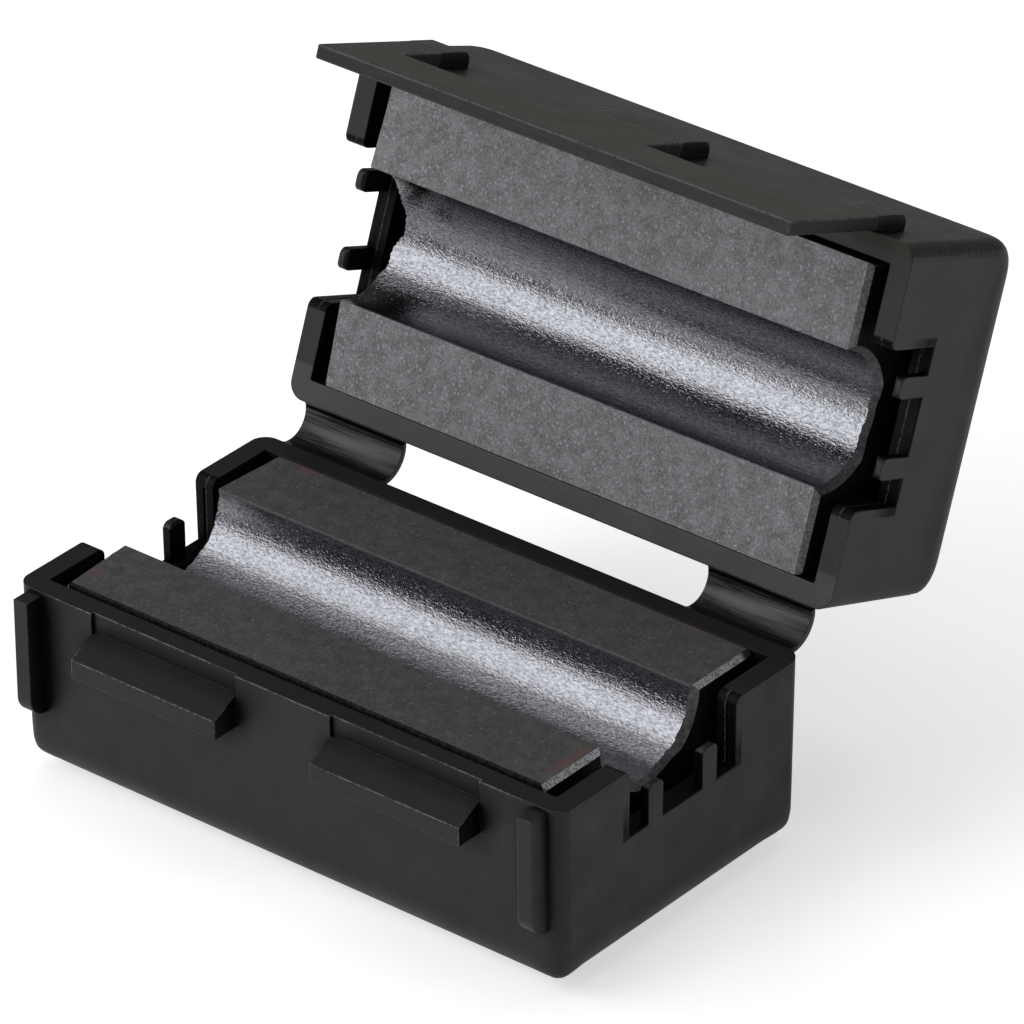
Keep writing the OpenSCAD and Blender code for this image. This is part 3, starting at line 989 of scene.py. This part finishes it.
# the half cores, with crumbled rims and chipped mouths
coreSettings = {
    "axisY": 0.00014,
    "bore": 0.00325,
    "level": 0.000005,  # counts as level with the land
    "lipReach": 0.0005,  # beyond the bore, still its lip or mouth
    "middle": 0.001,  # closer to the axis than this is no mouth
    "lip": 0.00004,  # softened edge between land and channel
    "rim": 0.00012,  # softened outer edges of the land
    "slant": 0.0001,  # more than this between the ends of an edge is no rim
    "rings": (0.0004, 0.0007, 0.0011),  # cuts that keep the chips near the ends
    "crumble": (0.00005, 0.00016),  # how far the rims have crumbled
    "frontCrumble": 1.9,  # more on the latch side
    "crumbleStep": (0.00010, 0.00030),
    "crumbleSeed": 5,
    "near": 0.000002,  # x apart, still on the same ring
    "ringSlack": 0.00001,
    "mouthCuts": 2,
    "endLean": 0.3,  # x of the normal from which a face belongs to an end
    "endFace": 0.95,  # and from which it is the end itself
    "wallHeight": 0.0001,  # the channel's wall starts this far off the land
    "flare": 0.0003,
    "slack": 0.00002,
    "chipFade": 0.0008,
    "chipRange": (0, 1.8),
    "calmLip": 0.0004,  # little chipping this close to the land
    "steep": 1.7,  # how fast a bite reaches its depth
    "halves": {  # bites are end, angle, width and depth
        "core_lower": {
            "piece": "halfCoreLower",
            "side": "lower",
            "body": "base",
            "land": 0.00993,
            "turn": Matrix.Identity(4),
            "rimLean": (0.985, 0.9),  # z of the normal below which a rim gets the face finish, partly painted shade, front and rear
            "seed": 11,
            "chip": 0.00009,
            "bites": ((1, -70, 20, 0.0002), (1, -120, 14, 0.00016), (-1, -40, 18, 0.0001)),
        },
        "core_upper": {
            "piece": "halfCoreUpper",
            "side": "upper",
            "body": "lid",
            "land": 0.01,
            "turn": openLid,
            "rimLean": (0.9, 0.9),
            "seed": 23,
            "chip": 0.00010,
            "bites": ((-1, -98, 21, 0.00052), (-1, -60, 9, 0.00014), (-1, -145, 10, 0.0001),
                      (1, -85, 30, 0.0003)),
        },
    },
}
coreFinishes = ("land", "channel", "face", "bevel", "mouth")


def spokeTo(co, half, sizes):
    return Vector((0, co.y - sizes["axisY"], co.z - half["land"]))


def isMouth(v, half, sizes):
    reach = math.hypot(v.co.y - sizes["axisY"], v.co.z - half["land"])
    return sizes["middle"] < reach < sizes["bore"] + sizes["lipReach"]


def softenLand(bm, half, sizes):
    lipReach = sizes["bore"] + sizes["lipReach"]
    onLand = [e for e in bm.edges
              if all(abs(v.co.z - half["land"]) < sizes["level"] for v in e.verts)]
    lips = [e for e in onLand
            if all(abs(v.co.y - sizes["axisY"]) < lipReach for v in e.verts)]
    rims = [e for e in onLand if e not in lips
            and abs(e.verts[0].co.y - e.verts[1].co.y) < sizes["slant"]]
    rimFaces = softenEdges(bm, rims, sizes["rim"])["faces"]
    softenEdges(bm, [e for e in lips if e.is_valid], sizes["lip"])
    return rimFaces


# each rim is cut at uneven steps, and the new vertices sink by uneven amounts
def crumbleRims(bm, faces, half, sizes):
    crumbler = random.Random(sizes["crumbleSeed"])
    reach = max(v.co.x for v in bm.verts) - sizes["rings"][-1]
    x = -reach
    while x < reach:
        faces = [f for f in faces if f.is_valid]
        crossed = [f for f in faces
                   if min(v.co.x for v in f.verts) < x < max(v.co.x for v in f.verts)]
        cut = cutAcross(bm, allAround(crossed), 0, x)
        for v in cut["geom_cut"]:
            if isinstance(v, bmesh.types.BMVert) and abs(v.co.z - half["land"]) < sizes["level"]:
                crumbled = crumbler.uniform(*sizes["crumble"])
                v.co.y -= crumbled * (-sizes["frontCrumble"] if v.co.y < 0 else 1)
        faces += [f for f in cut["geom"] if isinstance(f, bmesh.types.BMFace)]
        faces = list(set(faces))
        x += crumbler.uniform(*sizes["crumbleStep"])


def refineMouths(bm, ends, half, sizes):
    outer = sizes["rings"][-1] + sizes["ringSlack"]
    arcs = [e for e in bm.edges
            if abs(e.verts[0].co.x - e.verts[1].co.x) < sizes["near"]
            and min(abs(e.verts[0].co.x - end) for end in ends) < outer
            and all(isMouth(v, half, sizes) for v in e.verts)]
    bmesh.ops.subdivide_edges(bm, edges=arcs, cuts=sizes["mouthCuts"], use_grid_fill=True)


def pickFinish(face, half, sizes):
    centre = face.calc_center_median()
    spoke = spokeTo(centre, half, sizes)
    lipReach = sizes["bore"] + sizes["lipReach"]
    if abs(face.normal.x) > sizes["endFace"]:
        return "face"
    if abs(face.normal.x) > sizes["endLean"]:
        return "mouth" if spoke.length < lipReach else "bevel"
    offLand = abs(centre.z - half["land"])
    if spoke.length < sizes["bore"] + sizes["slack"] and offLand > sizes["wallHeight"]:
        return "channel"
    rimLean = half["rimLean"][0 if centre.y < 0 else 1]
    return "face" if spoke.length > lipReach and abs(face.normal.z) < rimLean else "land"


def chipMouths(bm, ends, half, sizes):
    chipper = random.Random(half["seed"])
    flare, slack = sizes["flare"], sizes["slack"]
    jags = {}
    for v in bm.verts:
        spoke = spokeTo(v.co, half, sizes)
        end = -1 if v.co.x < 0 else 1
        fromEnd = abs(v.co.x - ends[(end + 1) // 2])
        fade = max(0, 1 - fromEnd / sizes["chipFade"])
        if fade == 0 or not isMouth(v, half, sizes):
            continue
        turned = math.atan2(abs(spoke.z), spoke.y)
        angle = -math.degrees(turned)
        ragged = jags.setdefault((end, round(turned, 2)), chipper.uniform(*sizes["chipRange"]))
        ragged *= min(1, abs(v.co.z - half["land"]) / sizes["calmLip"])
        inside = min(1, fromEnd / flare)
        bite = sum(depth * min(1, sizes["steep"] * max(0, 1 - abs(angle - middle) / width))
                   for where, middle, width, depth in half["bites"] if where == end)
        # the mouth at the left end has no flare left
        if end < 0 and fromEnd < flare + slack and spoke.length < sizes["bore"] + flare + slack:
            v.co.x = ends[0]
        v.co.x -= end * fade * (half["chip"] * ragged * inside + bite)


def makeCore(nodeName, half, sizes):
    bm = cleanCopy(nodeName)
    bm.transform(half["turn"].inverted())
    rimFaces = softenLand(bm, half, sizes)
    ends = (min(v.co.x for v in bm.verts), max(v.co.x for v in bm.verts))
    for end, inward in zip(ends, (1, -1)):
        for depth in sizes["rings"]:
            cutAcross(bm, everything(bm), 0, end + inward * depth)
    crumbleRims(bm, rimFaces, half, sizes)
    refineMouths(bm, ends, half, sizes)
    for face in bm.faces:
        face.material_index = coreFinishes.index(pickFinish(face, half, sizes))
    chipMouths(bm, ends, half, sizes)
    bm.transform(half["turn"])
    side = half["side"]
    finishes = (lands[side], channels[side], endMaterials["face"],
                endMaterials["bevel" + side.capitalize()], endMaterials["mouth"])
    piece = placePiece(bm, half["piece"], finishes)
    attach(piece, half["body"])
    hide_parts(nodeName)


for nodeName, half in coreSettings["halves"].items():
    makeCore(nodeName, half, coreSettings)
print("half cores made")

# the latch plate, with rubbed broad faces in a painted warm reflection, and plainer sides
plateSettings = {
    "edge": 0.00009,
    "edgeBend": 0.5,  # radians
    "segments": 3,
    "broadWay": (0, 0.3567, 0.9342),  # that the plate's outer face looks
    "broadLean": 0.8,
}


def makePlate(sizes):
    bm = cleanCopy("latch_plate")
    rounded = bm.faces.layers.float.new("rounded")
    edges = [e for e in bm.edges if e.calc_face_angle(0) > sizes["edgeBend"]]
    for face in softenEdges(bm, edges, sizes["edge"], sizes["segments"])["faces"]:
        face[rounded] = 1
    broadWay = Vector(sizes["broadWay"])
    for face in bm.faces:
        isBroad = abs(face.normal.dot(broadWay)) > sizes["broadLean"]
        face.material_index = 0 if isBroad else 1
    piece = placePiece(bm, "latchPlate", (platePlastic, sidePlastic))
    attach(piece, "lid")
    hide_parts("latch_plate")


makePlate(plateSettings)
print("latch plate made")

# the hinge straps, two bands bent round the hinge line
strapSettings = {
    "centre": (0.0093535, 0.0108165),  # y and z of the middle of the bend
    "radius": 0.0013537,
    "startAngle": -121.3,
    "turn": 131.8,
    "embed": 4,  # degrees that each end runs into its wall
    "thickness": 0.00034,
    "folds": ((0.94, 0.040, 0.00002), (0.845, 0.022, 0.00002)),  # place, width and depth
    "inner": 0.00906,
    "outer": 0.01499,
    "edge": 0.00006,
    "edgeBend": 1,  # radians
    "steps": 72,
    "merge": 0.000001,
    "wrap": 0.1,  # radians before the start that still count as the start
    "baseEnd": (0, 0.00865, 0.00966),
    "lidEnd": (0, 0.010685, 0.011061),
}


def spinBand(bm, middle, outward, turn, side, sizes):
    corners = []
    for x, offset in ((sizes["inner"], -0.5), (sizes["outer"], -0.5),
                      (sizes["outer"], 0.5), (sizes["inner"], 0.5)):
        place = middle + outward * (sizes["radius"] + offset * sizes["thickness"])
        corners.append(bm.verts.new((side * x, place.y, place.z)))
    section = bm.faces.new(corners)
    bmesh.ops.spin(bm, geom=[section, *section.edges, *section.verts], cent=middle,
                   axis=(1, 0, 0), angle=turn, steps=sizes["steps"], use_duplicate=False)
    bmesh.ops.remove_doubles(bm, verts=bm.verts, dist=sizes["merge"])
    bmesh.ops.recalc_face_normals(bm, faces=bm.faces)
    bent = [e for e in bm.edges if e.is_manifold and e.calc_face_angle(0) > sizes["edgeBend"]]
    softenEdges(bm, bent, sizes["edge"])


def makeStrap(nodeName, pieceName, side, sizes):
    middle = Vector((0, *sizes["centre"]))
    start = math.radians(sizes["startAngle"] - sizes["embed"])
    turn = math.radians(sizes["turn"] + 2 * sizes["embed"])
    bm = bmesh.new()
    along = bm.verts.layers.float.new("along")
    spinBand(bm, middle, Vector((0, math.cos(start), math.sin(start))), turn, side, sizes)
    wrap = sizes["wrap"]
    for v in bm.verts:
        spoke = Vector((0, v.co.y - middle.y, v.co.z - middle.z))
        v[along] = (math.atan2(spoke.z, spoke.y) - start + wrap) % (2 * math.pi) - wrap
        v[along] = v[along] / turn
        if spoke.length < sizes["radius"]:
            for place, width, depth in sizes["folds"]:
                sink = depth * max(0, 1 - abs(v[along] - place) / width)
                v.co += spoke.normalized() * sink
    piece = placePiece(bm, pieceName, (strapNylon,))
    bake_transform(piece)
    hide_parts(nodeName)


makeStrap("hinge_strap_left", "hingeStrapLeft", -1, strapSettings)
makeStrap("hinge_strap_right", "hingeStrapRight", 1, strapSettings)
print("hinge straps made")
